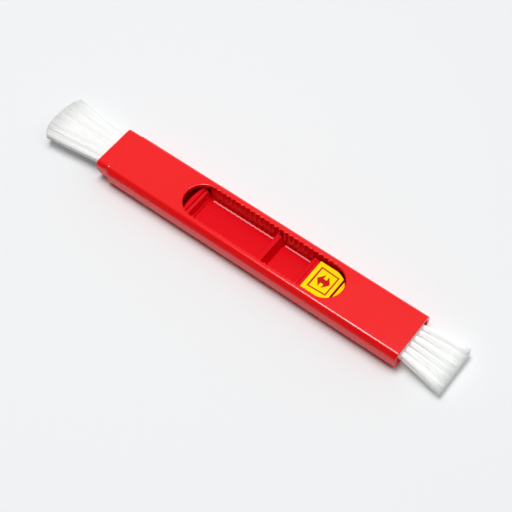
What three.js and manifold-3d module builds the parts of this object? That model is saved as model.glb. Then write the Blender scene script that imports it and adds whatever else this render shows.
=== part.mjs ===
// Two-ended pocket cleaning brush. A sleeve with a long scalloped window holds a sliding carriage.
// The carriage carries a soft fan brush out of the left end and a stiff tufted brush out of the right
// end. Millimetres, +Z up, +X toward the tufted brush. The origin is the middle of the sleeve's flat
// underside.
import * as THREE from 'three';
import { mergeVertices } from 'three/addons/utils/BufferGeometryUtils.js';
import Module from 'manifold-3d';

const wasm = await Module();
wasm.setup();

// Driving dimensions -------------------------------------------------------------------------------

const SLEEVE = { halfLength: 60, halfWidth: 10.1, height: 9, topEdge: 2.4, bottomEdge: 3.3 };
const BAY = { halfWidth: 8.6, floor: 1.2, ceiling: 7.7, edge: 1.6 };
const RAIL = { halfLength: 27, halfWidth: 7.85, top: 2.8, edge: 0.9 };
const WINDOW = { endCentre: 25.6, endRadius: 6.76 };
const FLUTE = { pitch: 2.03, count: 25, cuspHalfWidth: 6.33, depth: 0.55, steps: 4 };
const LUG = { x: [58.2, 59.8], y: [7, 8.8], z: [1, 2.4] };
const COLLAR = { left: -65.2, spigotEnd: -56, halfWidth: 9.5, bottom: 1.5, top: 8.9, fit: 0.1 };
const COLLAR_EDGE = { lower: 3.2, upper: 1.9, joint: 0.02, underCut: 1.5, underRise: 1.4 };
const COLLAR_BORE = { halfWidth: 6.4, mouthHalfWidth: 7.6, bottom: 2.5, top: 7.1, mouthTop: 7.3 };
const BAR = { left: -39.5, right: 41.4, halfWidth: 7.6, bottom: 1.4, top: 2.5, edge: 0.6 };
const SOFT_EDGE = 0.1;
const TANG = { right: 57.3, halfWidth: 5.8 };
const GUIDE_HALF_WIDTH = 6.12;
const THUMB_WALL = { foot: -26.7, lower: -27, upper: -27.75, crest: -28.95, ends: -29.6, bow: 1.1 };
const THUMB_LEDGES = { low: 3.2, high: 6, top: 7 };
const DIVIDER = { footLeft: 1.5, footRight: 4.4, topLeft: 1.66, topRight: 3.53, top: 6.8 };
const PAD = { left: 17, top: 7, ribRight: 18.4, ribTop: 6.8, grooveRight: 19.6, grooveFloor: 6.4 };
const PAD_SLOT = { left: 30, right: 30.5, floor: 5.2 };
const PAD_CORE = { x: [19.4, 28.8], halfWidth: 4.6, top: 5.6 };
const SPRING = { slotHalfWidth: 0.5, slot: [3.4, 5.6], strip: [3.6, 5.4], thickness: 0.3, wave: 0.2 };
const SPRING_NOSE = { reach: 6.38, radius: 0.33, waveSteps: 24 };
const LABEL = { left: 19.8, right: 29.85, inset: 0.2, tailLeft: 30.65, gap: 0.02, thickness: 0.12 };
const FERRULE = { left: -49, right: -39.8, bottom: 2.75, top: 6.95, wall: 0.5, edge: 1.2 };
const RISER = { left: -39.5, right: -37.2, top: 7 };
const TONGUE = { left: -44.2, halfWidth: 4.9, bottom: 3.4, top: 6.3 };
const PLUG = { left: -47.4, right: -44.5 };
const FAN = { root: -47.6, tip: -91.6, rootHalfWidth: 5.3, tipHalfWidth: 10.1, tipSweep: 1.5 };
const FAN_DEPTH = { rootBottom: 3.35, rootTop: 6.35, tipBottom: 3.5, tipTop: 6.9, fullBy: -62 };
const FERRULE_PIN = { x: -42.4, radius: 0.7 };
const BLOCK = { left: 46, right: 57.5, halfWidth: 7, bottom: 2.6, top: 7.4, edge: 0.8 };
const BLOCK_PIN = { x: 49, radius: 1, bottom: 1.6, top: 6 };
const PIN_FIT = 0.06;
const TUFT = { columns: 6, rootPitch: 2.3, tipPitch: 3.08, tip: 76.4, inHole: 2.6, rootRadius: 0.72 };
const TUFT_TIP = { halfWidth: 1.42, halfHeight: 0.98 };
const TUFT_ROWS = { upper: { root: 5.9, tip: 4.4 }, lower: { root: 3.75, tip: 2.35 } };
const HOLE = { radius: 0.9, depth: 4.2, mouth: 1 };
const ANCHOR = { thickness: 0.35, height: 1.2, depth: 1.1, fromBottom: 0.8 };

const ROUND = 6;
const PIN_SIDES = 16;

// Finishes -----------------------------------------------------------------------------------------

const finish = (color, roughness, metalness = 0) =>
  new THREE.MeshStandardMaterial({ color, roughness, metalness });
const redShell = () => finish(0xe81e22, 0.3);
const redInner = () => finish(0xd8141c, 0.35);
const bristle = () => finish(0xf2f2ef, 0.75);
const yellowFilm = () => finish(0xf8dc00, 0.4);
const steel = () => finish(0xb9bcc0, 0.3, 1);
const brass = () => finish(0xc8a24a, 0.3, 1);

// Solids -------------------------------------------------------------------------------------------

function solid(geometry) {
  const bare = geometry.clone();
  bare.deleteAttribute('normal');
  bare.deleteAttribute('uv');
  const merged = mergeVertices(bare);
  return new wasm.Manifold(new wasm.Mesh({
    numProp: 3,
    vertProperties: new Float32Array(merged.attributes.position.array),
    triVerts: new Uint32Array(merged.index.array),
  }));
}

function surface(manifold) {
  const { vertProperties, triVerts } = manifold.getMesh();
  const geometry = new THREE.BufferGeometry();
  geometry.setAttribute('position', new THREE.BufferAttribute(vertProperties, 3));
  geometry.setIndex(new THREE.BufferAttribute(triVerts, 1));
  geometry.computeVertexNormals();
  return geometry;
}

// A section drawn in (y, z), drawn out along X.
function alongX(section, [from, to], curveSegments = ROUND) {
  const options = { depth: to - from, bevelEnabled: false, curveSegments };
  const geometry = new THREE.ExtrudeGeometry(section, options);
  const yzx = new THREE.Matrix4().makeBasis(
    new THREE.Vector3(0, 1, 0), new THREE.Vector3(0, 0, 1), new THREE.Vector3(1, 0, 0));
  return geometry.applyMatrix4(yzx).translate(from, 0, 0);
}

// A plan drawn in (x, y), raised along Z.
function raised(plan, [from, to], curveSegments = ROUND) {
  const options = { depth: to - from, bevelEnabled: false, curveSegments };
  return new THREE.ExtrudeGeometry(plan, options).translate(0, 0, from);
}

// A side view drawn in (x, z), drawn out along Y.
function acrossY(side, halfWidth) {
  const options = { depth: 2 * halfWidth, bevelEnabled: false };
  return new THREE.ExtrudeGeometry(side, options).rotateX(Math.PI / 2).translate(0, halfWidth, 0);
}

function block([x0, x1], [y0, y1], [z0, z1]) {
  return new THREE.BoxGeometry(x1 - x0, y1 - y0, z1 - z0)
    .translate((x0 + x1) / 2, (y0 + y1) / 2, (z0 + z1) / 2);
}

const centred = (x, halfWidth, z) => block(x, [-halfWidth, halfWidth], z);

function uprightPin(radius, x, [from, to]) {
  return new THREE.CylinderGeometry(radius, radius, to - from, PIN_SIDES)
    .rotateX(Math.PI / 2).translate(x, 0, (from + to) / 2);
}

// A rectangle in (y, z) with its own radius on the lower and on the upper corners.
function roundedSection(halfWidth, bottom, top, lower, upper) {
  const section = new THREE.Shape();
  section.absarc(halfWidth - lower, bottom + lower, lower, -Math.PI / 2, 0);
  section.absarc(halfWidth - upper, top - upper, upper, 0, Math.PI / 2);
  section.absarc(-halfWidth + upper, top - upper, upper, Math.PI / 2, Math.PI);
  section.absarc(-halfWidth + lower, bottom + lower, lower, Math.PI, 1.5 * Math.PI);
  return section;
}

// Sleeve -------------------------------------------------------------------------------------------

// Half width of the window at x: circular notches a pitch apart, with a cusp between each two.
function fluteHalfWidth(x) {
  const { pitch, cuspHalfWidth, depth } = FLUTE;
  const radius = ((pitch / 2) ** 2 + depth ** 2) / (2 * depth);
  const fromBottom = x - (Math.floor(x / pitch) + 0.5) * pitch;
  return cuspHalfWidth + depth - radius + Math.sqrt(radius ** 2 - fromBottom ** 2);
}

function windowOutline() {
  const span = FLUTE.pitch * FLUTE.count / 2;
  const steps = FLUTE.count * FLUTE.steps;
  const outline = [];
  for (const side of [-1, 1]) {
    for (let i = 0; i <= steps; i += 1) {
      const x = -side * (-span + 2 * span * i / steps);
      outline.push(new THREE.Vector2(x, side * fluteHalfWidth(x)));
    }
    outline.push(...windowEnd(-side));
  }
  return new THREE.Shape(outline);
}

function windowEnd(end) {
  const arc = new THREE.EllipseCurve(
    end * WINDOW.endCentre, 0, WINDOW.endRadius, WINDOW.endRadius,
    end > 0 ? -Math.PI / 2 : Math.PI / 2, end > 0 ? Math.PI / 2 : 1.5 * Math.PI);
  return arc.getPoints(PIN_SIDES);
}

function sleeve() {
  const { halfLength, halfWidth, height, bottomEdge, topEdge } = SLEEVE;
  const outer = roundedSection(halfWidth, 0, height, bottomEdge, topEdge);
  const bay = roundedSection(BAY.halfWidth, BAY.floor, BAY.ceiling, BAY.edge, BAY.edge);
  const rail = roundedSection(RAIL.halfWidth, BAY.floor, RAIL.top, RAIL.edge, SOFT_EDGE);
  let body = solid(alongX(outer, [-halfLength, halfLength]))
    .subtract(solid(alongX(bay, [-halfLength - 1, -RAIL.halfLength])))
    .subtract(solid(alongX(bay, [RAIL.halfLength, halfLength + 1])))
    .subtract(solid(alongX(rail, [-RAIL.halfLength - 1, RAIL.halfLength + 1])))
    .subtract(solid(raised(windowOutline(), [RAIL.top - 0.5, height + 1])));
  for (const [y0, y1] of [LUG.y, [-LUG.y[1], -LUG.y[0]]]) {
    body = body.add(solid(block(LUG.x, [y0, y1], LUG.z)));
  }
  return surface(body);
}

// Collar that closes the sleeve's left end and guides the fan --------------------------------------

function collar() {
  const { lower, upper, joint, underCut, underRise } = COLLAR_EDGE;
  const end = -SLEEVE.halfLength - joint;
  const { left, spigotEnd, halfWidth, bottom, top, fit } = COLLAR;
  const neck = roundedSection(halfWidth, bottom, top, lower, upper);
  const spigot = roundedSection(
    BAY.halfWidth - fit, BAY.floor + fit, BAY.ceiling - fit, BAY.edge, BAY.edge);
  const wedge = new THREE.Shape([
    new THREE.Vector2(left - 1, bottom - 1), new THREE.Vector2(left + underCut, bottom - 1),
    new THREE.Vector2(left + underCut, bottom), new THREE.Vector2(left, bottom + underRise),
    new THREE.Vector2(left - 1, bottom + underRise)]);
  return surface(solid(alongX(neck, [left, end]))
    .add(solid(alongX(spigot, [end - 1, spigotEnd])))
    .subtract(collarBore())
    .subtract(solid(acrossY(wedge, halfWidth + 1))));
}

// The bore widens toward the mouth: a plan and a side view, each drawn out and intersected.
function collarBore() {
  const { halfWidth, mouthHalfWidth, bottom, top, mouthTop } = COLLAR_BORE;
  const [mouth, inner] = [COLLAR.left - 0.5, COLLAR.spigotEnd + 0.5];
  const plan = new THREE.Shape([
    new THREE.Vector2(mouth, -mouthHalfWidth), new THREE.Vector2(inner, -halfWidth),
    new THREE.Vector2(inner, halfWidth), new THREE.Vector2(mouth, mouthHalfWidth)]);
  const side = new THREE.Shape([
    new THREE.Vector2(mouth, bottom), new THREE.Vector2(inner, bottom),
    new THREE.Vector2(inner, top), new THREE.Vector2(mouth, mouthTop)]);
  return solid(raised(plan, [0, SLEEVE.height])).intersect(solid(acrossY(side, SLEEVE.halfWidth)));
}

// Sliding carriage ---------------------------------------------------------------------------------

function thumbWall() {
  const { foot, lower, upper, crest, ends, bow } = THUMB_WALL;
  const { low, high, top } = THUMB_LEDGES;
  const side = new THREE.Shape([
    new THREE.Vector2(ends - 2 * bow, BAR.top - 1), new THREE.Vector2(foot, BAR.top - 1),
    new THREE.Vector2(foot, low), new THREE.Vector2(lower, low), new THREE.Vector2(upper, high),
    new THREE.Vector2(crest, top), new THREE.Vector2(ends - 2 * bow, top)]);
  const plan = new THREE.Shape();
  plan.moveTo(foot + 1, -GUIDE_HALF_WIDTH);
  plan.lineTo(foot + 1, GUIDE_HALF_WIDTH);
  plan.lineTo(ends, GUIDE_HALF_WIDTH);
  plan.quadraticCurveTo(ends - 2 * bow, 0, ends, -GUIDE_HALF_WIDTH);
  return solid(acrossY(side, SLEEVE.halfWidth))
    .intersect(solid(raised(plan, [0, SLEEVE.height], 2 * ROUND)));
}

function divider() {
  const { footLeft, footRight, topLeft, topRight, top } = DIVIDER;
  const side = new THREE.Shape([
    new THREE.Vector2(footLeft, BAR.top - 1), new THREE.Vector2(footRight, BAR.top - 1),
    new THREE.Vector2(footRight, BAR.top), new THREE.Vector2(topRight, top),
    new THREE.Vector2(topLeft, top), new THREE.Vector2(footLeft, BAR.top)]);
  const x = springX();
  const slot = [x - SPRING.slotHalfWidth, x + SPRING.slotHalfWidth];
  return solid(acrossY(side, GUIDE_HALF_WIDTH))
    .subtract(solid(centred(slot, SLEEVE.halfWidth, SPRING.slot)));
}

// A plan with straight sides and a half-round right end that follows the window's end.
function padPlan(left, halfWidth) {
  const plan = new THREE.Shape();
  plan.moveTo(left, -halfWidth);
  plan.lineTo(WINDOW.endCentre, -halfWidth);
  plan.absarc(WINDOW.endCentre, 0, halfWidth, -Math.PI / 2, Math.PI / 2);
  plan.lineTo(left, halfWidth);
  return plan;
}

function pad() {
  const wide = SLEEVE.halfWidth;
  const { left, top, ribRight, ribTop, grooveRight, grooveFloor } = PAD;
  return solid(raised(padPlan(left, GUIDE_HALF_WIDTH), [BAR.top - 1, top], 2 * ROUND))
    .subtract(solid(centred([left - 1, ribRight], wide, [ribTop, top + 1])))
    .subtract(solid(centred([ribRight, grooveRight], wide, [grooveFloor, top + 1])))
    .subtract(solid(centred([PAD_SLOT.left, PAD_SLOT.right], wide, [PAD_SLOT.floor, top + 1])));
}

function carriage() {
  const { left, right, halfWidth, bottom, top, edge } = BAR;
  const bar = roundedSection(halfWidth, bottom, top, edge, SOFT_EDGE);
  const shell = solid(alongX(bar, [left, right]))
    .add(solid(centred([right - 1, TANG.right], TANG.halfWidth, [bottom, top])))
    .add(solid(centred([RISER.left, RISER.right], GUIDE_HALF_WIDTH, [BAR.top - 0.5, RISER.top])))
    .add(solid(centred([TONGUE.left, RISER.right], TONGUE.halfWidth, [TONGUE.bottom, TONGUE.top])))
    .add(thumbWall()).add(divider()).add(pad());
  const core = centred(PAD_CORE.x, PAD_CORE.halfWidth, [bottom - 1, PAD_CORE.top]);
  return surface(shell.subtract(solid(core))
    .subtract(solid(uprightPin(FERRULE_PIN.radius + PIN_FIT, FERRULE_PIN.x, [0, SLEEVE.height])))
    .subtract(solid(uprightPin(BLOCK_PIN.radius + PIN_FIT, BLOCK_PIN.x, [0, SLEEVE.height]))));
}

// Detent spring: a waved strip across the divider, with a round nose in a flute on each side --------

const springX = () => 1.5 * FLUTE.pitch;

function detentSpring() {
  const { thickness, wave, strip } = SPRING;
  const { reach, radius, waveSteps } = SPRING_NOSE;
  const bend = (y) => springX() + wave * Math.sin(3 * Math.PI * y / reach);
  const edge = (side, y) => new THREE.Vector2(bend(y) + side * thickness / 2, y);
  const ys = Array.from({ length: waveSteps + 1 }, (_, i) => -reach + 2 * reach * i / waveSteps);
  const outline = [...ys.map((y) => edge(1, y)), ...ys.reverse().map((y) => edge(-1, y))];
  let spring = solid(raised(new THREE.Shape(outline), strip));
  for (const end of [-1, 1]) {
    spring = spring.add(solid(uprightPin(radius, springX(), strip).translate(0, end * reach, 0)));
  }
  return surface(spring);
}

// Label film on the pad, in two pieces either side of the pad's slot -------------------------------

function label([left, right]) {
  const z = [PAD.top + LABEL.gap, PAD.top + LABEL.gap + LABEL.thickness];
  const plan = padPlan(LABEL.left, GUIDE_HALF_WIDTH - LABEL.inset);
  return surface(solid(raised(plan, z, 2 * ROUND))
    .intersect(solid(centred([left, right], SLEEVE.halfWidth, [0, SLEEVE.height]))));
}

// Fan brush: ferrule, resin plug, bristles and cross pin -------------------------------------------

function ferrule() {
  const { left, right, bottom, top, wall, edge } = FERRULE;
  const outer = roundedSection(GUIDE_HALF_WIDTH, bottom, top, edge, edge);
  const inner = roundedSection(
    GUIDE_HALF_WIDTH - wall, bottom + wall, top - wall, edge - wall, edge - wall);
  return surface(solid(alongX(outer, [left, right]))
    .subtract(solid(alongX(inner, [left - 1, right + 1])))
    .subtract(solid(uprightPin(FERRULE_PIN.radius + PIN_FIT, FERRULE_PIN.x, [0, SLEEVE.height]))));
}

function rootPlug() {
  const { bottom, top, wall, edge } = FERRULE;
  const fit = wall + 0.02;
  return alongX(roundedSection(
    GUIDE_HALF_WIDTH - fit, bottom + fit, top - fit, edge - wall, edge - wall),
  [PLUG.left, PLUG.right]);
}

// The fan's plan and side view, each drawn out and intersected: it spreads and thickens past its ferrule.
function fan() {
  const { root, tip, rootHalfWidth, tipHalfWidth, tipSweep } = FAN;
  const { rootBottom, rootTop, tipBottom, tipTop, fullBy } = FAN_DEPTH;
  const corner = tip + tipSweep;
  const plan = new THREE.Shape();
  plan.moveTo(root, -rootHalfWidth);
  plan.lineTo(root, rootHalfWidth);
  plan.lineTo(FERRULE.left, rootHalfWidth);
  plan.lineTo(corner, tipHalfWidth);
  plan.quadraticCurveTo(tip - tipSweep, 0, corner, -tipHalfWidth);
  plan.lineTo(FERRULE.left, -rootHalfWidth);
  const side = new THREE.Shape([
    new THREE.Vector2(root, rootBottom), new THREE.Vector2(root, rootTop),
    new THREE.Vector2(FERRULE.left, rootTop), new THREE.Vector2(fullBy, tipTop),
    new THREE.Vector2(tip - 1, tipTop), new THREE.Vector2(tip - 1, tipBottom),
    new THREE.Vector2(fullBy, tipBottom), new THREE.Vector2(FERRULE.left, rootBottom)]);
  return surface(solid(raised(plan, [0, SLEEVE.height], 2 * ROUND))
    .intersect(solid(acrossY(side, SLEEVE.halfWidth + 1))));
}

const ferrulePin = () => uprightPin(
  FERRULE_PIN.radius, FERRULE_PIN.x, [FERRULE.bottom, FERRULE.top]);

// Tufted brush -------------------------------------------------------------------------------------

// Each tuft's own frame has its origin at the middle of its hole's mouth and +Y out along the tuft.
function tuftFrame(row, column) {
  const offset = column - (TUFT.columns - 1) / 2;
  const { root, tip } = TUFT_ROWS[row];
  const from = new THREE.Vector3(BLOCK.right, offset * TUFT.rootPitch, root);
  const to = new THREE.Vector3(TUFT.tip, offset * TUFT.tipPitch, tip);
  const length = from.distanceTo(to);
  const along = to.clone().sub(from).normalize();
  const across = new THREE.Vector3(0, 1, 0).addScaledVector(along, -along.y).normalize();
  const up = new THREE.Vector3().crossVectors(across, along);
  const matrix = new THREE.Matrix4().makeBasis(across, along, up).setPosition(from);
  return { matrix, length };
}

function eachTuft(make) {
  return Object.keys(TUFT_ROWS).flatMap((row) =>
    Array.from({ length: TUFT.columns }, (_, column) => make(row, column)));
}

function tuftBlock() {
  const { left, right, halfWidth, bottom, top, edge } = BLOCK;
  let body = solid(alongX(roundedSection(halfWidth, bottom, top, edge, edge), [left, right]))
    .subtract(solid(uprightPin(
      BLOCK_PIN.radius + PIN_FIT, BLOCK_PIN.x, [0, BLOCK_PIN.top + PIN_FIT])));
  eachTuft((row, column) => {
    const depth = HOLE.depth + HOLE.mouth;
    const hole = new THREE.CylinderGeometry(HOLE.radius, HOLE.radius, depth, 12)
      .translate(0, HOLE.mouth - depth / 2, 0).applyMatrix4(tuftFrame(row, column).matrix);
    body = body.subtract(solid(hole));
  });
  return surface(body);
}

function tuft(length) {
  const { rootRadius, inHole } = TUFT;
  const profile = [
    new THREE.Vector2(0, -inHole), new THREE.Vector2(rootRadius, -inHole),
    new THREE.Vector2(rootRadius, 0), new THREE.Vector2(1, length), new THREE.Vector2(0, length)];
  const geometry = new THREE.LatheGeometry(profile, 16);
  const position = geometry.attributes.position;
  for (let i = 0; i < position.count; i += 1) {
    const flare = Math.max(0, position.getY(i)) / length;
    const width = 1 + flare * (TUFT_TIP.halfWidth - 1);
    const height = 1 + flare * (TUFT_TIP.halfHeight - 1);
    position.setX(i, position.getX(i) * width);
    position.setZ(i, position.getZ(i) * height);
  }
  return geometry;
}

function anchor() {
  const { thickness, height, depth, fromBottom } = ANCHOR;
  const bottom = fromBottom - HOLE.depth;
  return block([-height / 2, height / 2], [bottom - depth / 2, bottom + depth / 2],
    [-thickness / 2, thickness / 2]);
}

const blockPin = () => uprightPin(
  BLOCK_PIN.radius, BLOCK_PIN.x, [BLOCK_PIN.bottom, BLOCK_PIN.top]);

// Assembly -----------------------------------------------------------------------------------------

function piece(name, geometry, material) {
  const mesh = new THREE.Mesh(geometry, material);
  mesh.name = name;
  return mesh;
}

function placed(mesh, matrix) {
  mesh.applyMatrix4(matrix);
  return mesh;
}

const brush = new THREE.Group();
brush.add(
  piece('sleeve', sleeve(), redShell()),
  piece('nose_collar', collar(), redShell()),
  piece('carriage', carriage(), redInner()),
  piece('detent_spring', detentSpring(), steel()),
  piece('pad_label', label([LABEL.left, LABEL.right]), yellowFilm()),
  piece('tail_label', label([LABEL.tailLeft, SLEEVE.halfLength]), yellowFilm()),
  piece('fan_ferrule', ferrule(), redInner()),
  piece('fan_root_plug', rootPlug(), finish(0x8f7a4a, 0.4)),
  piece('fan_bristles', fan(), bristle()),
  piece('fan_ferrule_pin', ferrulePin(), steel()),
  piece('tuft_block', tuftBlock(), redInner()),
  piece('tuft_block_pin', blockPin(), steel()),
);
eachTuft((row, column) => {
  const { matrix, length } = tuftFrame(row, column);
  const number = column + 1;
  brush.add(placed(piece(`tuft_${row}_${number}`, tuft(length), bristle()), matrix));
  brush.add(placed(piece(`tuft_anchor_${row}_${number}`, anchor(), brass()), matrix));
});

export default brush;
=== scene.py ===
import math
import random

import bmesh
import bpy
from mathutils import Matrix, Vector


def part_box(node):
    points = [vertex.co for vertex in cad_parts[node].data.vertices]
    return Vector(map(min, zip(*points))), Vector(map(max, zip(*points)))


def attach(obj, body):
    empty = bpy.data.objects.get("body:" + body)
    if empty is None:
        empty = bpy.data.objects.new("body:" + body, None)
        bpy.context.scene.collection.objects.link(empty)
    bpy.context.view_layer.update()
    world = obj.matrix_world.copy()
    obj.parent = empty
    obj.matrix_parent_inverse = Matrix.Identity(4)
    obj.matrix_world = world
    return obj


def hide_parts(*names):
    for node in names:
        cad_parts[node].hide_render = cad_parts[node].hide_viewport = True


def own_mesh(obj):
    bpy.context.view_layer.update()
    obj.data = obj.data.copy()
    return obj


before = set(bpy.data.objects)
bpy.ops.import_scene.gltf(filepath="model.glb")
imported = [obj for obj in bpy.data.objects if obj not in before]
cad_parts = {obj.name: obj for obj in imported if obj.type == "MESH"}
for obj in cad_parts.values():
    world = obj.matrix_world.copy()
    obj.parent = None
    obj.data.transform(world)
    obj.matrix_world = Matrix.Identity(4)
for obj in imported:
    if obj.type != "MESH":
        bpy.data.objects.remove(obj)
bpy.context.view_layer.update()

# Sizes in millimetres, in the frame's axes: X along the sleeve toward the tufted brush, Z up.
MM = 0.001


def box_mm(node):
    low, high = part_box(node)
    return low / MM, high / MM


SLEEVE_LOW, SLEEVE_HIGH = box_mm("sleeve")
COLLAR_LOW, COLLAR_HIGH = box_mm("nose_collar")
CARRIAGE_LOW, _ = box_mm("carriage")
FERRULE_LOW, FERRULE_HIGH = box_mm("fan_ferrule")
FAN_LOW, FAN_HIGH = box_mm("fan_bristles")
BLOCK_LOW, BLOCK_HIGH = box_mm("tuft_block")
LABEL_LOW, LABEL_HIGH = box_mm("pad_label")
TAIL_LOW, TAIL_HIGH = box_mm("tail_label")

TOP = SLEEVE_HIGH.z
# How far a cutting shape reaches past what it cuts.
PAST = 1

# Sleeve. Its top edge is a small bend, a sloping face and a rounded rim.
BOTTOM_FILLET = 4.0
EDGE = {"bend": 1.25, "slope": 33.5, "round": 1.6, "round_in": 2.22}
BAY = {"half_width": 8.6, "floor": 1.2, "ceiling": 7.7, "edge": 1.6}
RAIL = {"half_length": 27, "half_width": 7.85, "top": 2.8, "edge": 0.9, "top_edge": 0.1}
WINDOW = {"end_centre": 25.6, "end_radius": 6.76, "lip": 0.34, "foot": 0.1}
FLUTE = {"pitch": 2.03, "count": 25, "cusp": 6.33, "depth": 0.72, "steps": 14, "blunt": 18}
LUG = {"x": (58.2, 59.8), "y": (7, 8.8), "z": (1, 2.4)}

# Collar: its neck, the spigot in the sleeve and the bore for the fan.
NECK = {"half_width": 9.5, "bottom": 1.5, "top": 8.9, "lower": 3.2, "upper": 1.9, "seam": -61.6}
NECK_GAP, SPIGOT_FIT = 0.02, 0.1
BORE = {"half_width": 6.4, "bottom": 2.5, "top": 7.1, "edge": 1.2, "drop": 0.05, "rise": 0.17}

# Carriage, ferrule and tuft block.
BAR = {"left": -39.5, "right": 41.4, "half_width": 7.6, "top": 2.5, "lower": 0.35, "upper": 0.3}
GUIDE = 6.12
PLATE_TOP = 7.0
TANG_HALF_WIDTH = 5.8
RISER = {"right": -37.2, "bottom": 2.0}
TONGUE = {"right": -37.3, "half_width": 4.9, "bottom": 3.4, "top": 6.3}
DIVIDER_FOOT, DIVIDER_CREST, DIVIDER_TOP = (1.5, 4.4), (1.66, 3.53), 6.8
PAD_CORE = {"x": (19.4, 28.8), "half_width": 4.6, "top": 5.6}
SPRING_SLOT = {"x": (2.545, 3.545), "z": (3.4, 5.6)}
# Name, ends, half width between the beads and how far they weave with the flutes.
FLOOR_BEADS = (
    ("left_floor_bead", (-25.4, 0.9), 5.83, 0.1),
    ("right_floor_bead", (5.2, 15.6), 5.97, 0),
)
BEAD_RADIUS, BEAD_SUNK = 0.27, 0.04
FERRULE = {"wall": 0.5, "edge": 1.2}
BLOCK_EDGE = 0.8
PIN_X, PIN_HOLE = -42.4, 0.76
BLOCK_PIN_X, BLOCK_PIN_HOLE, BLOCK_PIN_HOLE_TOP = 49, 1.06, 6.06
# How deep a raised piece is sunk into the bar under it.
SUNK = 0.5


# Camera and light -------------------------------------------------------------------------------

# The camera's direction in degrees, its distance and offsets in metres, and its lens.
VIEW = {"azimuth": 37.382, "elevation": 57.493, "distance": 0.440079, "lens": 91.67,
        "sideways": -0.002343, "upward": -0.000496, "along": 0.0002}
# Name, place, size and power of each light. They all face the middle of the sleeve.
LIGHTS = (
    ("top_softbox", (-0.075, 0.0, 1.14), (0.85, 0.16), 5.7),
    ("edge_strip", (-0.25, 0.0, 1.12), (0.46, 0.11), 3.7),
    ("right_fill", (0.55, 0.1, 0.9), (0.6, 0.6), 1.3),
)
# How strong the room's own light is in front of the object and behind it, and where it changes.
ROOM = {"From Min": -0.3, "From Max": 0.35, "To Min": 0.08, "To Max": 0.5}


def camera():
    azimuth, elevation = math.radians(VIEW["azimuth"]), math.radians(VIEW["elevation"])
    back = Vector((math.sin(azimuth) * math.cos(elevation),
                   -math.cos(azimuth) * math.cos(elevation), math.sin(elevation)))
    right = Vector((math.cos(azimuth), math.sin(azimuth), 0))
    up = back.cross(right)
    data = bpy.data.cameras.new("camera")
    data.lens = VIEW["lens"]
    data.clip_start = 0.01
    made = bpy.data.objects.new("camera", data)
    made.matrix_world = Matrix((right, up, back)).transposed().to_4x4()
    made.location = (VIEW["distance"] * back + VIEW["sideways"] * right + VIEW["upward"] * up
                     + Vector((VIEW["along"], 0, 0)))
    bpy.context.collection.objects.link(made)
    bpy.context.scene.camera = made


def area_light(name, place, size, power):
    data = bpy.data.lights.new(name, "AREA")
    data.shape, data.energy = "RECTANGLE", power
    data.size, data.size_y = size
    made = bpy.data.objects.new(name, data)
    made.location = place
    made.rotation_euler = (-Vector(place)).to_track_quat("-Z", "Y").to_euler()
    bpy.context.collection.objects.link(made)


def add_node(nodes, kind, values=None):
    """A new node with its named inputs set."""
    made = nodes.new(kind)
    for name, value in (values or {}).items():
        made.inputs[name].default_value = value
    return made


def studio_world():
    """A room that is dim in front of the object and brighter behind it."""
    world = bpy.data.worlds.new("studio")
    world.use_nodes = True
    nodes, link = world.node_tree.nodes, world.node_tree.links.new
    place = nodes.new("ShaderNodeTexCoord")
    split = nodes.new("ShaderNodeSeparateXYZ")
    link(place.outputs["Generated"], split.inputs["Vector"])
    rise = add_node(nodes, "ShaderNodeMapRange", ROOM)
    rise.interpolation_type = "SMOOTHSTEP"
    link(split.outputs["Y"], rise.inputs["Value"])
    background = nodes["Background"]
    background.inputs["Color"].default_value = (1, 1, 1, 1)
    link(rise.outputs["Result"], background.inputs["Strength"])
    bpy.context.scene.world = world


def studio():
    bpy.context.scene.view_settings.view_transform = "Standard"
    studio_world()
    for light in LIGHTS:
        area_light(*light)


# Mesh helpers -----------------------------------------------------------------------------------

def mesh_object(name, points, faces):
    mesh = bpy.data.meshes.new(name)
    mesh.from_pydata([Vector(p) * MM for p in points], [], faces)
    mesh.update()
    made = bpy.data.objects.new(name, mesh)
    bpy.context.collection.objects.link(made)
    return made


def tube_faces(count, rings, start=0):
    """Faces of a closed tube through rings of count points, numbered from start."""
    faces = [[start + i for i in reversed(range(count))]]
    for r in range(rings - 1):
        a, b = start + r * count, start + (r + 1) * count
        for i in range(count):
            j = (i + 1) % count
            faces.append([a + i, a + j, b + j, b + i])
    last = start + (rings - 1) * count
    return faces + [[last + i for i in range(count)]]


def loft(name, rings):
    """A closed solid through rings of the same number of points, with a flat face at each end."""
    points = [p for ring in rings for p in ring]
    made = mesh_object(name, points, tube_faces(len(rings[0]), len(rings)))
    make_outward(made)
    return made


def make_outward(obj):
    """Turns the faces of a closed mesh outward."""
    solid = bmesh.new()
    solid.from_mesh(obj.data)
    bmesh.ops.recalc_face_normals(solid, faces=solid.faces)
    solid.to_mesh(obj.data)
    solid.free()


def combine(target, other, operation):
    """Joins, cuts or crosses target with other, and removes other."""
    step = target.modifiers.new("step", "BOOLEAN")
    step.operation, step.object, step.solver = operation, other, "EXACT"
    graph = bpy.context.evaluated_depsgraph_get()
    result = bpy.data.meshes.new_from_object(target.evaluated_get(graph))
    target.modifiers.remove(step)
    target.data = result
    bpy.data.objects.remove(other)
    return target


def cut(target, other):
    return combine(target, other, "DIFFERENCE")


def join(target, other):
    return combine(target, other, "UNION")


def finish_surface(obj, material, angle=35):
    """Gives a cut piece its material, smooth faces and edges sharp above the angle in degrees."""
    mesh = obj.data
    mesh.materials.clear()
    mesh.materials.append(material)
    for polygon in mesh.polygons:
        polygon.material_index = 0
        polygon.use_smooth = True
    mesh.set_sharp_from_angle(angle=math.radians(angle))
    weighted = obj.modifiers.new("flat faces stay flat", "WEIGHTED_NORMAL")
    weighted.keep_sharp = True
    return obj


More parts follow.
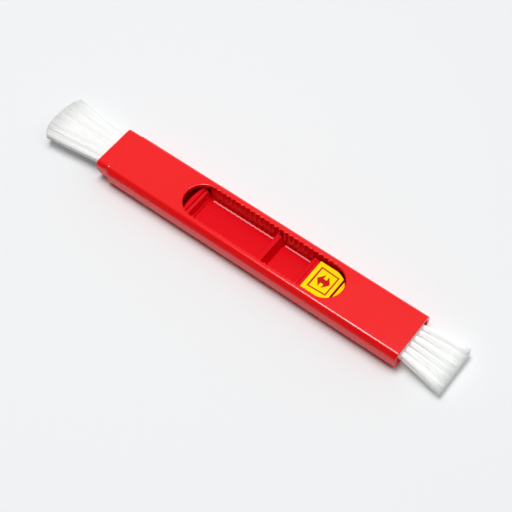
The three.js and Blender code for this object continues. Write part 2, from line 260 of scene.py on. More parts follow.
def arc(centre, radius, start, end, steps):
    """Points in a plane, from the start angle to the end angle, in degrees."""
    angles = [math.radians(start + (end - start) * i / steps) for i in range(steps + 1)]
    return [(centre[0] + radius * math.cos(a), centre[1] + radius * math.sin(a)) for a in angles]


def box_section(half_width, bottom, top, lower, upper, steps=10):
    """(y, z) points round a box with rounded corners."""
    return (arc((half_width - lower, bottom + lower), lower, -90, 0, steps)
            + arc((half_width - upper, top - upper), upper, 0, 90, steps)
            + arc((-half_width + upper, top - upper), upper, 90, 180, steps)
            + arc((-half_width + lower, bottom + lower), lower, 180, 270, steps))


def along_x(name, stations, section_at):
    """A solid through stations (x, inset): section_at(inset) gives the (y, z) points there."""
    return loft(name, [[(x, y, z) for y, z in section_at(inset)] for x, inset in stations])


def across_y(name, profile, half_width):
    return loft(name, [[(x, side * half_width, z) for x, z in profile] for side in (-1, 1)])


def raised(name, outline_at, levels):
    """A solid through levels (z, offset): outline_at(offset) gives the (x, y) points there."""
    return loft(name, [[(x, y, z) for x, y in outline_at(offset)] for z, offset in levels])


def slab(name, low, high):
    corners = [(low[0], low[1]), (high[0], low[1]), (high[0], high[1]), (low[0], high[1])]
    return raised(name, lambda _: corners, [(low[2], 0), (high[2], 0)])


def upright_drill(name, x, radius, low, high):
    ring = arc((x, 0), radius, 0, 352.5, 47)
    return raised(name, lambda _: ring, [(low, 0), (high, 0)])


def rounded_ends(left, right, radius, steps=5):
    """Stations whose inset rounds both ends of a solid."""
    turn = [math.radians(90 * i / steps) for i in range(steps + 1)]
    start = [(left + radius * (1 - math.sin(a)), radius * (1 - math.cos(a))) for a in turn]
    end = [(right - radius * (1 - math.sin(a)), radius * (1 - math.cos(a))) for a in turn]
    return start[::-1] + end


# Sleeve -----------------------------------------------------------------------------------------

def flute_edge(x, offset):
    """Half width of the window at x, with round notches and slightly blunted cusps between them."""
    pitch, depth = FLUTE["pitch"], FLUTE["depth"]
    radius = ((pitch / 2) ** 2 + depth ** 2) / (2 * depth)
    centre_y = FLUTE["cusp"] + depth - radius
    nearest = (math.floor(x / pitch) + 0.5) * pitch
    reach = []
    for centre in (nearest - pitch, nearest, nearest + pitch):
        inside = radius ** 2 - (x - centre) ** 2
        reach.append(centre_y + math.sqrt(inside) if inside > 0 else 0)
    blunt = FLUTE["blunt"]
    blend = math.log(sum(math.exp(blunt * (y - FLUTE["cusp"])) for y in reach)) / blunt
    return FLUTE["cusp"] + blend + offset


def window_outline(offset):
    span = FLUTE["pitch"] * FLUTE["count"] / 2
    steps = FLUTE["count"] * FLUTE["steps"]
    xs = [-span + 2 * span * i / steps for i in range(steps + 1)]
    centre, radius = WINDOW["end_centre"], WINDOW["end_radius"] + offset
    return ([(x, -flute_edge(x, offset)) for x in xs]
            + arc((centre, 0), radius, -90, 90, 40)
            + [(x, flute_edge(x, offset)) for x in reversed(xs)]
            + arc((-centre, 0), radius, 90, 270, 40))


def window_levels():
    """A small foot ledge, the upright wall and a rounded lip."""
    lip, foot, rail = WINDOW["lip"], WINDOW["foot"], RAIL["top"]
    turns = [math.radians(15 * i) for i in range(7)]
    ledge = [(rail - 0.5, -foot), (rail + 0.1, -foot), (rail + 0.2, -foot * 0.6),
             (rail + 0.25, 0)]
    rounded = [(TOP - lip * (1 - math.sin(a)), lip * (1 - math.cos(a))) for a in turns]
    return [*ledge, *rounded, (TOP + PAST, lip)]


def bay_section(inset):
    edge = BAY["edge"]
    return box_section(BAY["half_width"] - inset, BAY["floor"] + inset, BAY["ceiling"] - inset,
                       edge, edge)


def sleeve_section(inset):
    """(y, z) points of the sleeve's outer section, drawn in by inset."""
    half, slope, bend = SLEEVE_HIGH.y, math.radians(EDGE["slope"]), EDGE["bend"]
    round_centre = (half - EDGE["round_in"], TOP - EDGE["round"])
    run = round_centre[0] + EDGE["round"] * math.cos(slope) - (half - bend + bend * math.cos(slope))
    drop = -run / math.tan(slope)
    bend_z = round_centre[1] + (EDGE["round"] - bend) * math.sin(slope) - drop
    right = (arc((half - BOTTOM_FILLET, BOTTOM_FILLET), BOTTOM_FILLET - inset, -90, 0, 14)
             + arc((half - bend, bend_z), bend - inset, 0, EDGE["slope"], 4)
             + arc(round_centre, EDGE["round"] - inset, EDGE["slope"], 90, 8))
    return right + [(-y, z) for y, z in reversed(right)]


def make_sleeve(material):
    left, right = SLEEVE_LOW.x, SLEEVE_HIGH.x
    rail_end = RAIL["half_length"]
    shell = along_x("sleeve_shell", rounded_ends(left, right, 0.3), sleeve_section)
    mouth = [(rail_end, 0), (right - 0.3, 0), (right - 0.1, -0.08), (right, -0.25),
             (right + PAST, -0.25)]
    cut(shell, along_x("right_bay", mouth, bay_section))
    cut(shell, along_x("left_bay", [(left - PAST, 0), (-rail_end, 0)], bay_section))
    rail = [(-rail_end - PAST, 0), (rail_end + PAST, 0)]
    cut(shell, along_x("rail", rail, lambda _: box_section(
        RAIL["half_width"], BAY["floor"], RAIL["top"], RAIL["edge"], RAIL["top_edge"])))
    cut(shell, raised("window", window_outline, window_levels()))
    for side in (-1, 1):
        ys = sorted(side * y for y in LUG["y"])
        join(shell, slab("stop_lug", (LUG["x"][0], ys[0], LUG["z"][0]),
                         (LUG["x"][1], ys[1], LUG["z"][1])))
    finish_surface(shell, material)
    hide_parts("sleeve")
    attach(shell, "body")


# Collar -----------------------------------------------------------------------------------------

def neck_section(shape):
    """The neck's outer section, drawn in by inset and with its underside raised by rise."""
    inset, rise = shape
    return box_section(NECK["half_width"] - inset, NECK["bottom"] + rise + inset,
                       NECK["top"] - inset, NECK["lower"], NECK["upper"])


def neck_stations():
    """The cut-back underside at the left end, a seam line, and the joint with the sleeve."""
    left, right = COLLAR_LOW.x, SLEEVE_LOW.x - NECK_GAP
    seam, plain = NECK["seam"], (0, 0)
    return [(left, (0.14, 1.4)), (left + 0.05, (0.06, 1.33)), (left + 0.15, (0.01, 1.24)),
            (left + 0.3, (0, 1.1)), (left + 0.9, (0, 0.45)), (left + 1.5, (0, 0.08)),
            (left + 1.9, plain), (seam - 0.1, plain), (seam, (0.02, 0)), (seam + 0.1, plain),
            (right - 0.25, plain), (right - 0.1, (0.04, 0)), (right, (0.15, 0))]


def bore_section(grow):
    """The bore widens by grow, and opens much less up and down."""
    return box_section(BORE["half_width"] + grow, BORE["bottom"] - BORE["drop"] * grow,
                       BORE["top"] + BORE["rise"] * grow, BORE["edge"], BORE["edge"])


def make_collar(material):
    left, right = COLLAR_LOW.x, COLLAR_HIGH.x
    shell = along_x("collar_shell", neck_stations(), neck_section)
    spigot = [(SLEEVE_LOW.x - PAST, SPIGOT_FIT), (right, SPIGOT_FIT)]
    join(shell, along_x("spigot", spigot, bay_section))
    bore = [(left - 0.5, 1.35), (left, 1.25), (left + 0.3, 1.1), (left + 2, 0.9),
            (right + 0.5, 0)]
    cut(shell, along_x("bore", bore, bore_section))
    finish_surface(shell, material)
    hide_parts("nose_collar")
    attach(shell, "body")


# Carriage ---------------------------------------------------------------------------------------

def thumb_wall():
    """A stepped wall whose left face bows out in plan, drawn as one side view at each station."""
    foot, lower, upper, crest, ends, bow = -26.7, -27.0, -27.75, -28.95, -29.6, 0.95
    low, high, top = 3.2, 6.0, PLATE_TOP
    ridge, edge, base = 0.12, 0.15, BAR["top"] - SUNK

    def side_view(left):
        return ([(left, base), (foot, base)]
                + arc((foot - ridge, low - ridge), ridge, 0, 90, 4)
                + [(lower, low + 0.02), (upper + 0.08, high - 0.3)]
                + arc((upper - ridge, high - ridge), ridge, 0, 90, 4)
                + [(upper - 0.4, high + 0.02), (crest + 0.25, high + 0.15)]
                + arc((crest - edge, top - edge), edge, 10, 90, 4)
                + arc((left + edge, top - edge), edge, 90, 180, 4))

    rings, steps = [], 32
    for i in range(steps + 1):
        y = -GUIDE + 2 * GUIDE * i / steps
        left = ends - bow * (1 - (y / GUIDE) ** 2)
        rings.append([(x, y, z) for x, z in side_view(left)])
    return loft("thumb_wall", rings)


def divider_wall():
    top, edge, floor = DIVIDER_TOP, 0.25, BAR["top"]
    (left_foot, right_foot), (left_crest, right_crest) = DIVIDER_FOOT, DIVIDER_CREST
    profile = ([(left_foot, floor - SUNK), (right_foot + edge, floor - SUNK),
                (right_foot + edge, floor), (right_foot, floor + edge)]
               + arc((right_crest - edge, top - edge), edge, 0, 90, 5)
               + arc((left_crest + edge, top - edge), edge, 90, 180, 5))
    return across_y("divider", profile, GUIDE)


def pad_outline(left, half_width):
    """Straight sides and a bulging right end, seen from above."""
    centre, bulge = WINDOW["end_centre"], 1.12
    end = [(centre + bulge * x, y) for x, y in arc((0, 0), half_width, -90, 90, 40)]
    return [(left, -half_width)] + end + [(left, half_width)]


def pad_block():
    """Rib, groove, label seat, slot and end crescent in side view, trimmed to the pad's plan."""
    top, rib, groove, slot = PLATE_TOP, 6.8, 6.4, 5.2
    rib_left, rib_right, seat, slot_left, slot_right = 17, 18.4, 19.5, 30, 30.5
    right, base, chamfer, turn = 34, BAR["top"] - SUNK, 0.08, 0.35
    profile = ([(rib_left - 0.1, base), (right, base), (right, top)]
               + [(slot_right + 0.1, top), (slot_right, top - chamfer), (slot_right, slot)]
               + [(slot_left, slot), (slot_left, top - chamfer), (slot_left - 0.1, top)]
               + [(seat + 0.25, top), (seat + 0.1, top - 0.12), (seat, groove + 0.06)]
               + [(seat - 0.15, groove), (rib_right + 0.2, groove)]
               + [(rib_right + 0.05, groove + chamfer), (rib_right, rib - 0.12)]
               + [(rib_right - 0.12, rib)]
               + arc((rib_left + turn, rib - turn), turn, 90, 180, 6)
               + [(rib_left, BAR["top"] + 0.3)])
    block = across_y("pad", profile, BAR["half_width"])
    plan = raised("pad_plan", lambda _: pad_outline(rib_left - 2, GUIDE), [(0, 0), (TOP, 0)])
    return combine(block, plan, "INTERSECT")


def make_carriage(material, bead_highlight_material):
    low = CARRIAGE_LOW
    body = along_x("carriage_shell", rounded_ends(BAR["left"], BAR["right"], 0.2),
                   lambda inset: box_section(BAR["half_width"] - inset, low.z + inset,
                                             BAR["top"] - inset, BAR["lower"], BAR["upper"]))
    tang, side = BLOCK_HIGH.x - 0.2, TANG_HALF_WIDTH
    join(body, slab("tang", (BAR["right"] - PAST, -side, low.z), (tang, side, BAR["top"])))
    join(body, slab("riser", (BAR["left"], -GUIDE, RISER["bottom"]),
                    (RISER["right"], GUIDE, PLATE_TOP)))
    side = TONGUE["half_width"]
    join(body, slab("tongue", (low.x, -side, TONGUE["bottom"]),
                    (TONGUE["right"], side, TONGUE["top"])))
    join(body, thumb_wall())
    join(body, divider_wall())
    join(body, pad_block())
    (x0, x1), (z0, z1), side = SPRING_SLOT["x"], SPRING_SLOT["z"], SLEEVE_HIGH.y
    cut(body, slab("spring_slot", (x0, -side, z0), (x1, side, z1)))
    (x0, x1), side = PAD_CORE["x"], PAD_CORE["half_width"]
    cut(body, slab("pad_core", (x0, -side, 0), (x1, side, PAD_CORE["top"])))
    cut(body, upright_drill("ferrule_pin_hole", PIN_X, PIN_HOLE, 0, TOP))
    cut(body, upright_drill("block_pin_hole", BLOCK_PIN_X, BLOCK_PIN_HOLE, 0, TOP))
    finish_surface(body, material)
    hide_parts("carriage")
    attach(body, "slider")
    for bead in FLOOR_BEADS:
        floor_bead(*bead, bead_highlight_material)


def floor_bead(name, ends, half_width, wave, material):
    """A fine rounded bead along each side of a compartment's floor, whose light pink is a painted
    highlight.
    """
    steps = 100
    section = arc((0, BAR["top"] - BEAD_SUNK), BEAD_RADIUS, 0, 330, 11)
    for side in (-1, 1):
        rings = []
        for i in range(steps + 1):
            x = ends[0] + (ends[1] - ends[0]) * i / steps
            y = side * (half_width + wave * math.cos(2 * math.pi * x / FLUTE["pitch"]))
            rings.append([(x, y + dy, z) for dy, z in section])
        bead = loft(f"{name}_{side + 2}", rings)
        smooth(bead, material)
        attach(bead, "slider")


def make_ferrule(material):
    low, high = FERRULE_LOW, FERRULE_HIGH
    wall, edge = FERRULE["wall"], FERRULE["edge"]
    tube = along_x("ferrule_shell", rounded_ends(low.x, high.x, 0.15),
                   lambda inset: box_section(high.y - inset, low.z + inset, high.z - inset,
                                             edge, edge))
    bore = [(low.x - PAST, 0), (high.x + PAST, 0)]
    cut(tube, along_x("ferrule_bore", bore, lambda _: box_section(
        high.y - wall, low.z + wall, high.z - wall, edge - wall, edge - wall)))
    cut(tube, upright_drill("pin_hole", PIN_X, PIN_HOLE, 0, TOP))
    finish_surface(tube, material)
    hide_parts("fan_ferrule")
    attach(tube, "slider")


# Tufts and their block --------------------------------------------------------------------------

COLUMNS = 6
# The height of each row of tufts at the block and at the tips.
ROWS = {"upper": (5.9, 4.4), "lower": (3.75, 2.35)}
# How far each row is squeezed together at the ends of the slide.
ROOT_PITCH, TIP_PITCH, TUFT_TIP = 2.3, 3.08, 76.4
HOLE_RADIUS, HOLE_MOUTH, HOLE_DEPTH, IN_HOLE = 0.9, 1.0, 4.2, 2.6
# How full each column's tuft stands, from -Y to +Y: the third is pinched by its neighbours.
FULLNESS = (1.0, 1.0, 0.72, 1.0, 1.0, 1.04)


def tuft_line(row, column):
    """Where a tuft leaves the block and where its tip is, in millimetres."""
    root_z, tip_z = ROWS[row]
    offset = column - (COLUMNS - 1) / 2
    return (Vector((BLOCK_HIGH.x, offset * ROOT_PITCH, root_z)),
            Vector((TUFT_TIP, offset * TIP_PITCH, tip_z)))


def make_tuft_block(material):
    low, high = BLOCK_LOW, BLOCK_HIGH
    block = along_x("tuft_block_body", rounded_ends(low.x, high.x, 0.25),
                    lambda inset: box_section(high.y - inset, low.z + inset, high.z - inset,
                                              BLOCK_EDGE, BLOCK_EDGE))
    for row in ROWS:
        for column in range(COLUMNS):
            root, tip = tuft_line(row, column)
            along = (tip - root).normalized()
            across = Vector((0, 0, 1)).cross(along).normalized()
            up = along.cross(across)
            rings = []
            for reach, radius in ((-HOLE_DEPTH, HOLE_RADIUS), (-0.15, HOLE_RADIUS),
                                  (0.05, HOLE_MOUTH), (0.8, HOLE_MOUTH)):
                rings.append([root + along * reach + across * y + up * z
                              for y, z in arc((0, 0), radius, 0, 345, 23)])
            cut(block, loft("hole", rings))
    cut(block, upright_drill("pin_hole", BLOCK_PIN_X, BLOCK_PIN_HOLE, 0,
                             BLOCK_PIN_HOLE_TOP))
    finish_surface(block, material)
    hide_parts("tuft_block")
    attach(block, "slider")


# Bristles ---------------------------------------------------------------------------------------

SIDES = 3
FAN_STRANDS, FAN_STRAND_RADIUS, FAN_STRAND_TAPER = 3600, 0.15, 0.95
TUFT_STRANDS, TUFT_STRAND_RADIUS, TUFT_STRAND_TAPER = 170, 0.1, 0.9
# How much of the bundle the solid heart of the fan and of a tuft takes up.
FAN_HEART_INSET, FAN_HEART_DEPTH, FAN_HEART_EDGE, TUFT_HEART = 0.9, 0.4, 1.1, 0.86
FAN_ROOT, FAN_THICKENS_OVER = 5.15, 13
TUFT_ROOT_WIDE, TUFT_TIP_WIDE, TUFT_ROOT_HIGH, TUFT_TIP_HIGH, TUFT_ARCH = 0.7, 1.66, 0.72, 1.08, 0.6


class Strands:
    """Thin tapering bristles collected into one mesh."""

    def __init__(self):
        self.points, self.faces = [], []

    def add(self, path, radius, taper):
        """One bristle along path, whose tip's radius is taper times its root's."""
        start = len(self.points)
        last = len(path) - 1
        turn = random.uniform(0, 2 * math.pi)
        for i, p in enumerate(path):
            r = radius * (1 - (1 - taper) * i / last)
            for s in range(SIDES):
                a = turn + 2 * math.pi * s / SIDES
                self.points.append((p[0], p[1] + r * math.cos(a), p[2] + r * math.sin(a)))
        self.faces += tube_faces(SIDES, len(path), start)

    def add_heart(self, rings):
        """The solid middle of the bundle, so that nothing shows through between the bristles."""
        self.faces += tube_faces(len(rings[0]), len(rings), len(self.points))
        self.points += [p for ring in rings for p in ring]

    def mesh(self, name):
        made = mesh_object(name, self.points, self.faces)
        make_outward(made)
        return made


def smooth(obj, material):
    """Gives a round piece its material and smooth faces."""
    obj.data.materials.append(material)
    for polygon in obj.data.polygons:
        polygon.use_smooth = True
    return obj


def fan_half_width(x):
    """Half width of the fan at x, in millimetres."""
    share = max(0.0, (FERRULE_LOW.x - x) / (FERRULE_LOW.x - FAN_LOW.x))
    return FAN_ROOT + (FAN_HIGH.y - FAN_ROOT) * share ** 1.08


def fan_depth(x):
    """Bottom and top of the fan at x: it thickens a little just outside the ferrule."""
    share = min(1.0, max(0.0, (FERRULE_LOW.x - x) / FAN_THICKENS_OVER))
    return 3.37 + 0.15 * share, 6.33 + 0.55 * share


def fan_tip_x(u):
    """Where the fan ends at u, from -1 to 1 across it: a curve that drops back at -Y."""
    return FAN_LOW.x + 0.6 + 1.5 * u * u + 0.2 * u ** 8 + max(0.0, -u) ** 4


def fan_heart():
    rings = []
    for x in (FAN_HIGH.x, -56, -62, -70, -78, -86, FAN_LOW.x + 2.6):
        bottom, top = fan_depth(x)
        rings.append([(x, y, z) for y, z in box_section(
            fan_half_width(x) - FAN_HEART_INSET, bottom + FAN_HEART_DEPTH, top - FAN_HEART_DEPTH,
            FAN_HEART_EDGE, FAN_HEART_EDGE, steps=4)])
    return rings


def make_fan(material):
    random.seed(11)
    strands = Strands()
    strands.add_heart(fan_heart())
    steps = 6
    for _ in range(FAN_STRANDS):
        u = random.uniform(-1, 1)
        v = math.copysign(abs(random.uniform(-1, 1)) ** 0.3, random.uniform(-1, 1))
        # Neighbours gather into locks, and each bristle drifts and ends a little on its own.
        clump = 0.010 * math.sin(23 * u + 3 * v) + 0.006 * math.sin(61 * u)
        tip = fan_tip_x(u) + random.gauss(0, 0.12) + (0.3 * random.random() ** 4)
        drift = random.gauss(0, 0.010)
        path = []
        for i in range(steps):
            t = i / (steps - 1)
            x = FAN_HIGH.x + (tip - FAN_HIGH.x) * t
            loosen = t * t
            y = (u + (clump + drift) * loosen) * (fan_half_width(x) - 0.15)
            bottom, top = fan_depth(x)
            round_off = math.sqrt(max(0, 1 - 0.75 * u ** 4))
            z = (bottom + top) / 2 + v * round_off * ((top - bottom) / 2 - 0.12)
            z += random.gauss(0, 0.03) * loosen
            path.append((x, y, z))
        strands.add(path, FAN_STRAND_RADIUS, FAN_STRAND_TAPER)
    fan = strands.mesh("fan_bristle_bundle")
    smooth(fan, material)
    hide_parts("fan_bristles")
    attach(fan, "slider")
    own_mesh(fan)


def tuft_centre(start, tip, root, share):
    """A point along a tuft, which arches up a little outside the block, and how far out it is."""
    p = start.lerp(tip, share)
    flare = max(0.0, (p.x - root.x) / (tip.x - root.x))
    p.z += TUFT_ARCH * math.sin(math.pi * min(1.0, flare) ** 0.7)
    return p, flare


def tuft_size(flare, full):
    """Half width and half height of a tuft, from 0 at the block to 1 at the tip."""
    spread = max(0.0, flare) ** 0.8
    return (TUFT_ROOT_WIDE + (TUFT_TIP_WIDE * full - TUFT_ROOT_WIDE) * spread,
            TUFT_ROOT_HIGH + (TUFT_TIP_HIGH - TUFT_ROOT_HIGH) * spread)


def make_tuft(row, column, material):
    root, tip = tuft_line(row, column)
    start = root + (root - tip).normalized() * IN_HOLE
    full = FULLNESS[column]
    strands = Strands()
    heart, steps = [], 8
    for i in range(steps + 1):
        p, flare = tuft_centre(start, tip, root, 0.985 * i / steps)
        wide, high = tuft_size(flare, full)
        heart.append([(p.x, p.y + y * wide, p.z + z * high)
                      for y, z in arc((0, 0), TUFT_HEART, 0, 330, 11)])
    strands.add_heart(heart)
    steps = 7
    for _ in range(TUFT_STRANDS):
        a = random.uniform(0, 2 * math.pi)
        d = random.random() ** 0.25
        lean = random.gauss(0, 0.04)
        reach = 1 + random.gauss(0, 0.004)
        path = []
        for i in range(steps):
            p, flare = tuft_centre(start, tip, root, i / (steps - 1) * reach)
            wide, high = tuft_size(flare, full)
            path.append((p.x, p.y + (d * math.cos(a) + lean * flare) * wide,
                         p.z + d * math.sin(a) * high))
        strands.add(path, TUFT_STRAND_RADIUS, TUFT_STRAND_TAPER)
    number = column + 1
    tuft = smooth(strands.mesh(f"tuft_{row}_{number}_bristles"), material)
    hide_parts(f"tuft_{row}_{number}")
    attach(tuft, "slider")
    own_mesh(tuft)


# Label ------------------------------------------------------------------------------------------

def make_label(film, ink):
    half = LABEL_HIGH.y
    for name, node, span in (("label_film", "pad_label", (LABEL_LOW.x, LABEL_HIGH.x)),
                             ("label_tail_film", "tail_label", (TAIL_LOW.x, TAIL_HIGH.x + PAST))):
        piece = raised(name, lambda _: pad_outline(LABEL_LOW.x, half),
                       [(LABEL_LOW.z, 0), (LABEL_HIGH.z, 0)])
        span_box = slab("span", (span[0], -SLEEVE_HIGH.y, 0), (span[1], SLEEVE_HIGH.y, TOP))
        combine(piece, span_box, "INTERSECT")
        finish_surface(piece, film)
        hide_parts(node)
        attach(piece, "slider")
    make_label_print(ink)


def make_label_print(ink):
    """A plain two-way arrow in a frame, to say that the pad slides."""
    z, thick = LABEL_HIGH.z + 0.004, 0.01
    frame_bars = [
        [(21.3, -4.4), (21.9, -4.4), (21.9, 4.4), (21.3, 4.4)],
        [(28.1, -4.1), (28.6, -4.1), (28.6, 4.1), (28.1, 4.1)],
        [(21.9, -4.4), (28.1, -4.1), (28.1, -3.6), (21.9, -3.9)],
        [(21.9, 3.9), (28.1, 3.6), (28.1, 4.1), (21.9, 4.4)],
    ]
    arrow = [(22.5, 0), (24.4, -2.6), (24.4, -0.9), (25.6, -0.9), (25.6, -2.6), (27.5, 0),
             (25.6, 2.6), (25.6, 0.9), (24.4, 0.9), (24.4, 2.6)]
    points, faces = [], []
    for shape in [*frame_bars, arrow]:
        faces += tube_faces(len(shape), 2, len(points))
        points += [(x, y, z) for x, y in shape] + [(x, y, z + thick) for x, y in shape]
    made = mesh_object("label_print", points, faces)
    make_outward(made)
    made.data.materials.append(ink)
    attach(made, "slider")


# Materials --------------------------------------------------------------------------------------

def number_group(name, inputs, outputs):
    """A node group of plain numbers, with the inputs' first values."""
    group = bpy.data.node_groups.new(name, "ShaderNodeTree")
    for label, value in inputs.items():
        made = group.interface.new_socket(name=label, in_out="INPUT",
                                          socket_type="NodeSocketFloat")
        made.default_value = value
    for label in outputs:
        group.interface.new_socket(name=label, in_out="OUTPUT", socket_type="NodeSocketFloat")
    return group


def moulded_skin_group():
    """Soft unevenness of a moulded surface, and fine rubbing marks along it."""
    group = number_group("moulded_skin", {"Grain Size": 900.0, "Smooth Roughness": 0.25,
                                          "Worn Roughness": 0.4},
                         ["Shade", "Roughness", "Height"])
    nodes, link = group.nodes, group.links.new
    given, out = nodes.new("NodeGroupInput"), nodes.new("NodeGroupOutput")
    place = nodes.new("ShaderNodeTexCoord")

    grain = add_node(nodes, "ShaderNodeTexNoise", {"Detail": 3})
    link(place.outputs["Object"], grain.inputs["Vector"])
    link(given.outputs["Grain Size"], grain.inputs["Scale"])

    cloud = add_node(nodes, "ShaderNodeTexNoise", {"Scale": 45, "Detail": 4})
    link(place.outputs["Object"], cloud.inputs["Vector"])

    stretch = add_node(nodes, "ShaderNodeMapping", {"Scale": (60, 2600, 2600)})
    link(place.outputs["Object"], stretch.inputs["Vector"])
    rub = add_node(nodes, "ShaderNodeTexNoise", {"Scale": 1, "Detail": 2})
    link(stretch.outputs["Vector"], rub.inputs["Vector"])
    marks = add_node(nodes, "ShaderNodeMapRange", {"From Min": 0.62, "From Max": 0.74})
    link(rub.outputs["Fac"], marks.inputs["Value"])

    rough = nodes.new("ShaderNodeMath")
    rough.operation = "MULTIPLY_ADD"
    link(marks.outputs["Result"], rough.inputs[0])
    rough.inputs[1].default_value = 0.12
    link(cloud.outputs["Fac"], rough.inputs[2])
    spread = add_node(nodes, "ShaderNodeMapRange", {"From Min": 0.3, "From Max": 1.0})
    link(rough.outputs["Value"], spread.inputs["Value"])
    link(given.outputs["Smooth Roughness"], spread.inputs["To Min"])
    link(given.outputs["Worn Roughness"], spread.inputs["To Max"])

    link(cloud.outputs["Fac"], out.inputs["Shade"])
    link(spread.outputs["Result"], out.inputs["Roughness"])
    link(grain.outputs["Fac"], out.inputs["Height"])
    return group


def painted_shade_streak_group():
    """Streaks that fan out from an apex, with painted shade between them: Shade is 0 between them
    and 1 on them.
    """
    group = number_group("bristle_streaks_painted_shade", {"Fineness": 12.0, "Apex": 0.0}, ["Shade"])
    nodes, link = group.nodes, group.links.new
    given, out = nodes.new("NodeGroupInput"), nodes.new("NodeGroupOutput")
    place, split = nodes.new("ShaderNodeTexCoord"), nodes.new("ShaderNodeSeparateXYZ")
    link(place.outputs["Object"], split.inputs["Vector"])

    def step(operation, first, second=None):
        made = nodes.new("ShaderNodeMath")
        made.operation = operation
        link(first, made.inputs[0])
        if second is not None:
            link(second, made.inputs[1])
        return made.outputs["Value"]

    reach = step("SUBTRACT", step("ABSOLUTE", split.outputs["X"]), given.outputs["Apex"])
    join_up = nodes.new("ShaderNodeCombineXYZ")
    link(step("DIVIDE", split.outputs["Y"], reach), join_up.inputs["X"])
    link(split.outputs["X"], join_up.inputs["Y"])
    link(split.outputs["Z"], join_up.inputs["Z"])
    noise = add_node(nodes, "ShaderNodeTexNoise", {"Detail": 3})
    link(join_up.outputs["Vector"], noise.inputs["Vector"])
    link(given.outputs["Fineness"], noise.inputs["Scale"])
    sharpen = add_node(nodes, "ShaderNodeMapRange", {"From Min": 0.32, "From Max": 0.58})
    link(noise.outputs["Fac"], sharpen.inputs["Value"])
    link(sharpen.outputs["Result"], out.inputs["Shade"])
    return group


def shaded_material(name, values):
    """A material whose Principled shader has the given values: it, the shader, nodes and link."""
    material = bpy.data.materials.new(name)
    material.use_nodes = True
    nodes = material.node_tree.nodes
    shader = nodes["Principled BSDF"]
    for socket, value in values.items():
        shader.inputs[socket].default_value = value
    return material, shader, nodes, material.node_tree.links.new


def place_group(nodes, group, values):
    made = nodes.new("ShaderNodeGroup")
    made.node_tree = group
    for socket, value in values.items():
        made.inputs[socket].default_value = value
    return made


def two_tone(nodes, link, factor, dark, light):
    mix = nodes.new("ShaderNodeMix")
    mix.data_type = "RGBA"
    mix.inputs["A"].default_value = (*dark, 1)
    mix.inputs["B"].default_value = (*light, 1)
    link(factor, mix.inputs["Factor"])
    return mix.outputs["Result"]


GRAIN, GRAIN_BUMP, GRAIN_HEIGHT = 900, 0.02, 0.0001


def moulded(name, skin, dark, light, smooth_roughness, worn_roughness, specular=0.5,
            metallic=0.0):
    """A moulded, rolled or printed finish between two close colours."""
    material, shader, nodes, link = shaded_material(
        name, {"Specular IOR Level": specular, "Metallic": metallic})
    surface = place_group(nodes, skin, {"Grain Size": GRAIN, "Smooth Roughness": smooth_roughness,
                                        "Worn Roughness": worn_roughness})
    link(two_tone(nodes, link, surface.outputs["Shade"], dark, light),
         shader.inputs["Base Color"])
    link(surface.outputs["Roughness"], shader.inputs["Roughness"])
    relief = add_node(nodes, "ShaderNodeBump", {"Strength": GRAIN_BUMP,
                                                "Distance": GRAIN_HEIGHT})
    link(surface.outputs["Height"], relief.inputs["Height"])
    link(relief.outputs["Normal"], shader.inputs["Normal"])
    return material


def bristle_material(name, streaks, dark, light, fineness, apex, painted_glow):
    """Streaked white bristle, whose small glow is painted light: it lifts the shade among the
    bristles and stands for light that passes through them.
    """
    material, shader, nodes, link = shaded_material(
        name, {"Roughness": 0.45, "Specular IOR Level": 0.4,
               "Emission Color": (0.9, 0.92, 0.9, 1), "Emission Strength": painted_glow})
    # The darker lines between the streaks are painted shade between locks of bristles.
    streak = place_group(nodes, streaks, {"Fineness": fineness, "Apex": apex})
    link(two_tone(nodes, link, streak.outputs["Shade"], dark, light),
         shader.inputs["Base Color"])
    return material


def floor_material():
    return shaded_material("pale_floor", {"Base Color": (0.85, 0.86, 0.868, 1),
                                          "Roughness": 0.9, "Specular IOR Level": 0.0})[0]


def make_floor():
    size, ground = 1500, SLEEVE_LOW.z - 0.02
    corners = [(-size, -size, ground), (size, -size, ground), (size, size, ground),
               (-size, size, ground)]
    floor = mesh_object("floor", corners, [[0, 1, 2, 3]])
    floor.data.materials.append(floor_material())


def dress(node, material):
    """Gives a CAD part that stays its material."""
    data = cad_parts[node].data
    data.materials.clear()
    data.materials.append(material)


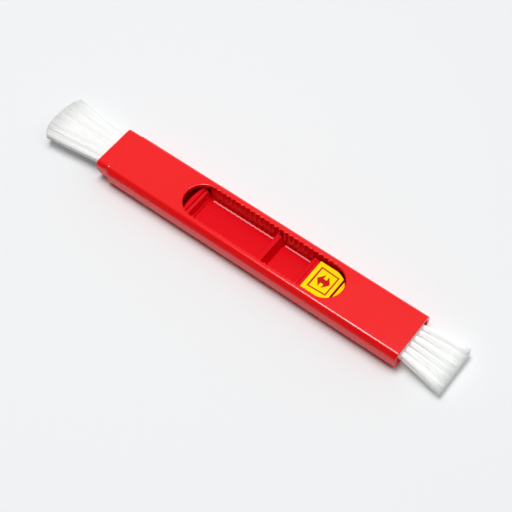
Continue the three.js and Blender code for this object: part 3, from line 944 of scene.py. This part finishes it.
def finishes():
    """Every finish of the object, by name."""
    skin, streaks = moulded_skin_group(), painted_shade_streak_group()
    return {
        "shell_red": moulded("shell_red_plastic", skin, (0.86, 0.003, 0.005),
                             (0.90, 0.004, 0.006), 0.14, 0.22),
        "slider_red": moulded("slider_red_plastic", skin, (0.71, 0.001, 0.007),
                              (0.77, 0.002, 0.009), 0.24, 0.34, specular=0.1),
        "film": moulded("label_yellow_film", skin, (0.93, 0.71, 0.0), (0.96, 0.75, 0.0),
                        0.3, 0.4, specular=0.06),
        "ink": moulded("label_red_ink", skin, (0.55, 0.001, 0.003), (0.62, 0.002, 0.004),
                       0.35, 0.45, specular=0.1),
        "steel": moulded("spring_and_pin_steel", skin, (0.5, 0.51, 0.53), (0.6, 0.61, 0.62),
                         0.25, 0.4, metallic=1.0),
        "brass": moulded("anchor_wire_brass", skin, (0.65, 0.47, 0.2), (0.75, 0.56, 0.26),
                         0.3, 0.45, metallic=1.0),
        "resin": moulded("root_resin", skin, (0.30, 0.22, 0.10), (0.4, 0.3, 0.14), 0.25, 0.35),
        # The beads' light pink is a painted highlight along the foot of the window's walls.
        "bead_highlight_pink": moulded("bead_painted_highlight_pink", skin, (0.9, 0.3, 0.32), (0.95, 0.5, 0.52),
                            0.25, 0.35),
        # The last number of each white is its glow, painted light that brightens the shaded
        # bristles.
        "soft_white": bristle_material("fan_bristle_white", streaks, (0.84, 0.845, 0.83),
                                       (0.93, 0.935, 0.92), 50, 0.0047, 0.09),
        "stiff_white": bristle_material("tuft_bristle_white", streaks, (0.90, 0.905, 0.895),
                                        (0.95, 0.955, 0.945), 60, 0.0018, 0.18),
    }


def dress_inner_parts(finish):
    for pin_or_spring in ("detent_spring", "fan_ferrule_pin", "tuft_block_pin"):
        dress(pin_or_spring, finish["steel"])
    dress("fan_root_plug", finish["resin"])
    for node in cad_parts:
        if node.startswith("tuft_anchor"):
            dress(node, finish["brass"])


def main():
    camera()
    studio()
    make_floor()
    finish = finishes()
    make_sleeve(finish["shell_red"])
    make_collar(finish["shell_red"])
    make_carriage(finish["slider_red"], finish["bead_highlight_pink"])
    make_ferrule(finish["slider_red"])
    make_tuft_block(finish["slider_red"])
    make_label(finish["film"], finish["ink"])
    make_fan(finish["soft_white"])
    random.seed(5)
    for row in ROWS:
        for column in range(COLUMNS):
            make_tuft(row, column, finish["stiff_white"])
    dress_inner_parts(finish)


main()
